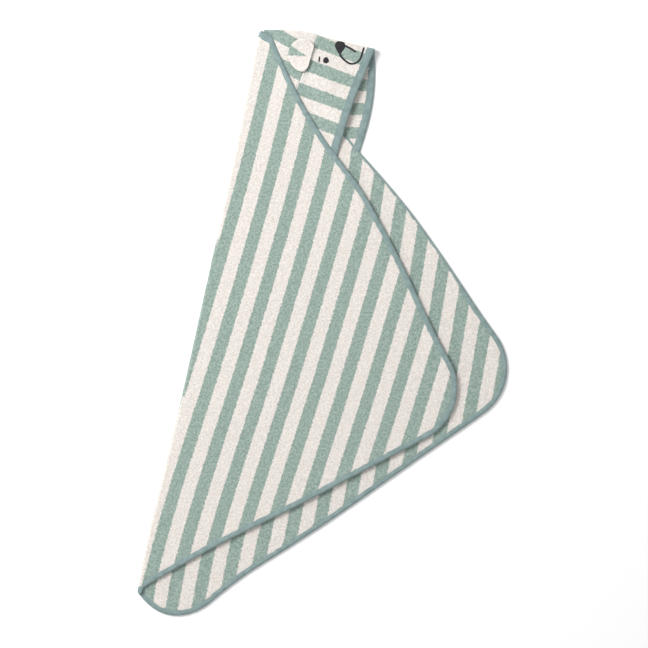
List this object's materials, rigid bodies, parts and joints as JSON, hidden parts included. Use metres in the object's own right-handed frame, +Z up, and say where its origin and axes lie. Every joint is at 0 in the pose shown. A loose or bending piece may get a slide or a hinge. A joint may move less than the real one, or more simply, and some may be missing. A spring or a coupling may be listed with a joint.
{
  "type": "hooded baby towel",
  "caption": "Square terry baby towel with a sewn corner hood that has a dog's face and ears, folded once and laid flat with the hood turned out.",
  "frame": {"origin": "middle of the folded towel's box, on the surface it lies on", "axes": "+Z up off the surface, +Y towards the hood's corner, +X from the fold towards the free corners"},
  "size_m": [0.5807, 0.9488, 0.0166],
  "materials": {
    "striped_terry": "matte",
    "binding_cotton": "matte",
    "ear_terry": "matte",
    "sewing_thread": "matte",
    "embroidery_thread": "matte"
  },
  "bodies": {
    "lower_half": {"towel_lower_half": "striped_terry", "binding_lower_half": "binding_cotton", "binding_stitching_lower": "sewing_thread"},
    "upper_half": {"towel_upper_half": "striped_terry", "binding_upper_half": "binding_cotton", "binding_stitching_upper": "sewing_thread"},
    "hood_lower": {"hood_back_lower": "striped_terry", "hood_face_lower": "striped_terry", "hood_binding_lower": "binding_cotton", "hood_binding_stitching_lower": "sewing_thread", "ear_seam_stitching_lower": "sewing_thread", "nose_lower": "embroidery_thread", "muzzle_line_lower": "embroidery_thread", "eye_lower": "embroidery_thread", "eyebrow_lower": "embroidery_thread"},
    "hood_upper": {"hood_back_upper": "striped_terry", "hood_face_upper": "striped_terry", "hood_binding_upper": "binding_cotton", "hood_binding_stitching_upper": "sewing_thread", "ear_seam_stitching_upper": "sewing_thread", "nose_upper": "embroidery_thread", "muzzle_line_upper": "embroidery_thread", "lip_line": "embroidery_thread", "eye_upper": "embroidery_thread", "eyebrow_upper": "embroidery_thread"},
    "ear_lower": {"ear_front_lower": "ear_terry", "ear_back_lower": "ear_terry"},
    "ear_upper": {"ear_front_upper": "ear_terry", "ear_back_upper": "ear_terry"}
  },
  "joints": [
    {"name": "towel_fold", "type": "hinge", "parent": "lower_half", "child": "upper_half", "pos_m": [-0.09469, 0.46986, 0.0044], "axis": [-0.2113, -0.9774, 0], "range_deg": [0, 90]},
    {"name": "hood_seam", "type": "hinge", "parent": "lower_half", "child": "hood_lower", "pos_m": [-0.09469, 0.46986, 0.0044], "axis": [0.6004, -0.7997, 0], "range_deg": [0, 68]},
    {"name": "hood_crown", "type": "hinge", "parent": "hood_lower", "child": "hood_upper", "pos_m": [-0.09469, 0.47586, 0.0044], "axis": [-0.9818, 0.1891, -0.0162], "range_deg": [0, 85]},
    {"name": "ear_lower_lift", "type": "hinge", "parent": "hood_lower", "child": "ear_lower", "pos_m": [-0.01061, 0.45434, 0.001], "axis": [-0.1815, -0.9834, 0], "range_deg": [0, 120]},
    {"name": "ear_upper_lift", "type": "hinge", "parent": "hood_upper", "child": "ear_upper", "pos_m": [-0.01334, 0.44352, 0.0156], "axis": [0.308, 0.9514, 0], "range_deg": [0, 120]}
  ],
  "couplings": [
    {"joint": "hood_seam", "follows": "towel_fold", "ratio": 0.7407},
    {"joint": "hood_crown", "follows": "towel_fold", "ratio": 0.9318}
  ]
}
